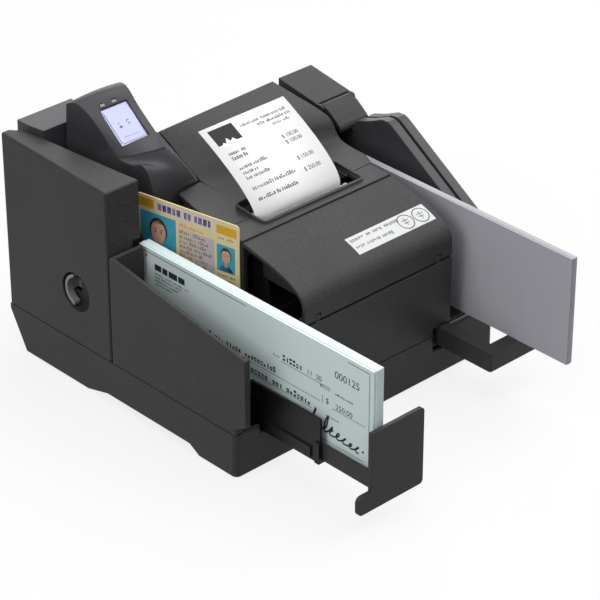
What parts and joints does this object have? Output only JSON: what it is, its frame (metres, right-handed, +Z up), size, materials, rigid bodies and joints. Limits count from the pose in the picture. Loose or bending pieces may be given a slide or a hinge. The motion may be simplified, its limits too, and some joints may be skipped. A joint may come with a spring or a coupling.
{
  "type": "cheque scanner",
  "caption": "Desktop cheque scanner with a receipt printer, a front feeder and exit pocket, a tilted display and a card swipe reader.",
  "frame": {"origin": "middle of the overall footprint at desk level, with the exit tray drawn out as at rest", "axes": "+Z up, -Y towards the teller (the machine's front), +X to the teller's right"},
  "size_m": [0.245, 0.337, 0.1935],
  "materials": {
    "case_plastic": "fine textured charcoal",
    "panel_plastic": "satin dark grey",
    "reader_plastic": "satin charcoal",
    "tray_plastic": "matt black",
    "inner_plastic": "matt black",
    "rubber": "matt",
    "roller_rubber": "matt",
    "steel": "plain",
    "deck_steel": "galvanised sheet",
    "board": "circuit board",
    "metal_shell": "plain",
    "sensor_glass": "polished",
    "lamp": "clear",
    "button": "satin",
    "paper_stack": "printed",
    "white_paper": "thermal paper",
    "card_plastic": "printed card"
  },
  "bodies": {
    "chassis": {"lower_case": "case_plastic", "rubber_feet": "rubber", "deck_screws": "steel", "main_deck": "deck_steel", "main_board": "board", "rear_connectors": "metal_shell", "hinge_pins": "steel", "mechanism_brackets": "inner_plastic", "magnetic_heads": "metal_shell", "pocket_outer_wall": "case_plastic", "pocket_floor": "inner_plastic", "pocket_inner_wall": "inner_plastic", "scan_wall": "inner_plastic", "image_sensor_rear": "sensor_glass", "transport_motor": "metal_shell", "drive_belt": "rubber", "rear_guide": "inner_plastic", "rear_cover": "case_plastic", "panel_housing": "panel_plastic", "display_screen": "sensor_glass", "panel_leds": "lamp", "right_cover": "case_plastic", "card_reader": "reader_plastic", "feeder_floor": "inner_plastic", "printer_case": "case_plastic", "exit_bezel": "case_plastic", "print_frame": "deck_steel", "print_motor": "metal_shell", "roll_bucket": "inner_plastic"},
    "left_door": {"left_cover": "case_plastic", "left_guide_panel": "inner_plastic", "image_sensor_front": "sensor_glass"},
    "pinch_1": {"pinch_roller_1": "roller_rubber"},
    "pinch_2": {"pinch_roller_2": "roller_rubber"},
    "latch": {"cover_latch": "inner_plastic"},
    "tray_inner": {"tray_stage_1": "tray_plastic"},
    "tray_outer": {"tray_stop": "tray_plastic"},
    "cartridge": {"ink_cartridge": "inner_plastic"},
    "pulley": {"motor_pulley": "steel"},
    "pick": {"pick_roller": "roller_rubber"},
    "roller_rr": {"rear_roller_right": "roller_rubber"},
    "roller_rl": {"rear_roller_left": "roller_rubber"},
    "roller_s2": {"scan_roller_2": "roller_rubber"},
    "roller_s1": {"scan_roller_1": "roller_rubber"},
    "separator": {"separation_roller": "roller_rubber"},
    "power_key": {"power_button": "button"},
    "feed_key": {"feed_button": "button"},
    "feeder_lid": {"feeder_cover": "case_plastic"},
    "hopper": {"hopper_plate": "tray_plastic"},
    "arm": {"feeder_arm": "tray_plastic"},
    "front_lid": {"front_cover": "case_plastic"},
    "roll_lid": {"roll_paper_cover": "case_plastic", "thermal_head": "sensor_glass"},
    "slip": {"receipt": "white_paper"},
    "platen": {"platen_roller": "roller_rubber"},
    "print_pinion": {"print_motor_gear": "steel"},
    "roll": {"paper_roll": "white_paper"},
    "scanned": {"scanned_stack": "paper_stack"},
    "waiting": {"waiting_stack": "paper_stack"},
    "card": {"id_card": "card_plastic"}
  },
  "joints": [
    {"name": "left_door_hinge", "type": "hinge", "parent": "chassis", "child": "left_door", "pos_m": [-0.1165, 0.1585, 0.1012], "axis": [0, 0, -1], "range_deg": [0, 75]},
    {"name": "pinch_1_spin", "type": "hinge", "parent": "left_door", "child": "pinch_1", "pos_m": [-0.10625, 0.0865, 0.0762], "axis": [0, 0, 1], "continuous": true},
    {"name": "pinch_2_spin", "type": "hinge", "parent": "left_door", "child": "pinch_2", "pos_m": [-0.11178, 0.1285, 0.0762], "axis": [0, 0, 1], "continuous": true},
    {"name": "latch_turn", "type": "hinge", "parent": "left_door", "child": "latch", "pos_m": [-0.1115, 0.1065, 0.0742], "axis": [0, 0, 1], "range_deg": [0, 5], "stiffness_Nm_per_rad": 0.05, "springref_deg": -8.59},
    {"name": "tray_inner_slide", "type": "slide", "parent": "chassis", "child": "tray_inner", "axis": [0, -1, 0], "range_m": [0, 0.012]},
    {"name": "tray_outer_slide", "type": "slide", "parent": "tray_inner", "child": "tray_outer", "axis": [0, -1, 0], "range_m": [0, 0.018]},
    {"name": "cartridge_lift", "type": "slide", "parent": "chassis", "child": "cartridge", "axis": [0, 0, 1], "range_m": [0, 0.03]},
    {"name": "motor_spin", "type": "hinge", "parent": "chassis", "child": "pulley", "pos_m": [-0.0225, 0.0325, 0.0412], "axis": [0, 0, 1], "continuous": true},
    {"name": "pick_spin", "type": "hinge", "parent": "chassis", "child": "pick", "pos_m": [0.0795, 0.0545, 0.0762], "axis": [0, 0, 1], "continuous": true},
    {"name": "roller_rr_spin", "type": "hinge", "parent": "chassis", "child": "roller_rr", "pos_m": [0.0795, 0.1045, 0.0762], "axis": [0, 0, 1], "continuous": true},
    {"name": "roller_rl_spin", "type": "hinge", "parent": "chassis", "child": "roller_rl", "pos_m": [-0.0645, 0.1445, 0.0762], "axis": [0, 0, 1], "continuous": true},
    {"name": "roller_s2_spin", "type": "hinge", "parent": "chassis", "child": "roller_s2", "pos_m": [-0.09758, 0.1285, 0.0762], "axis": [0, 0, 1], "continuous": true},
    {"name": "roller_s1_spin", "type": "hinge", "parent": "chassis", "child": "roller_s1", "pos_m": [-0.09205, 0.0865, 0.0762], "axis": [0, 0, 1], "continuous": true},
    {"name": "separator_spin", "type": "hinge", "parent": "chassis", "child": "separator", "pos_m": [0.0995, 0.1045, 0.0762], "axis": [0, 0, 1], "continuous": true},
    {"name": "power_press", "type": "slide", "parent": "chassis", "child": "power_key", "axis": [0, -1, 0], "range_m": [0, 0.0012], "stiffness_N_per_m": 300, "springref_m": -0.001},
    {"name": "feed_press", "type": "slide", "parent": "chassis", "child": "feed_key", "axis": [0, 0, -1], "range_m": [0, 0.0008], "stiffness_N_per_m": 200, "springref_m": -0.001},
    {"name": "feeder_lid_hinge", "type": "hinge", "parent": "chassis", "child": "feeder_lid", "pos_m": [0.1065, 0.0771, 0.145], "axis": [-1, 0, 0], "range_deg": [0, 80]},
    {"name": "hopper_slide", "type": "slide", "parent": "chassis", "child": "hopper", "axis": [1, 0, 0], "range_m": [0, 0.0035], "stiffness_N_per_m": 60, "springref_m": -0.004},
    {"name": "arm_slide", "type": "slide", "parent": "chassis", "child": "arm", "axis": [0, 1, 0], "range_m": [0, 0.039]},
    {"name": "front_lid_hinge", "type": "hinge", "parent": "chassis", "child": "front_lid", "pos_m": [0.0075, -0.0643, 0.0936], "axis": [1, 0, 0], "range_deg": [0, 90]},
    {"name": "roll_lid_hinge", "type": "hinge", "parent": "chassis", "child": "roll_lid", "pos_m": [0.0275, 0.1165, 0.1422], "axis": [-1, 0, 0], "range_deg": [0, 80]},
    {"name": "slip_lift", "type": "slide", "parent": "roll_lid", "child": "slip", "axis": [0, 0, 1], "range_m": [0, 0.03]},
    {"name": "platen_spin", "type": "hinge", "parent": "chassis", "child": "platen", "pos_m": [0.0075, 0.004, 0.1207], "axis": [1, 0, 0], "continuous": true},
    {"name": "print_motor_spin", "type": "hinge", "parent": "chassis", "child": "print_pinion", "pos_m": [0.0525, 0.004, 0.1084], "axis": [1, 0, 0], "continuous": true},
    {"name": "roll_spin", "type": "hinge", "parent": "chassis", "child": "roll", "pos_m": [0.0071, 0.0755, 0.0832], "axis": [1, 0, 0], "continuous": true},
    {"name": "scanned_lift", "type": "slide", "parent": "chassis", "child": "scanned", "axis": [0, 0, 1], "range_m": [0, 0.09]},
    {"name": "waiting_pull", "type": "slide", "parent": "chassis", "child": "waiting", "axis": [0, -1, 0], "range_m": [0, 0.12]},
    {"name": "card_lift", "type": "slide", "parent": "chassis", "child": "card", "axis": [0, 0, 1], "range_m": [0, 0.06]}
  ],
  "couplings": [
    {"joint": "motor_spin", "follows": "pick_spin", "ratio": 1},
    {"joint": "roller_rr_spin", "follows": "pick_spin", "ratio": 1},
    {"joint": "roller_rl_spin", "follows": "pick_spin", "ratio": 1},
    {"joint": "roller_s2_spin", "follows": "pick_spin", "ratio": 1},
    {"joint": "roller_s1_spin", "follows": "pick_spin", "ratio": 1},
    {"joint": "print_motor_spin", "follows": "platen_spin", "ratio": -1.4}
  ]
}
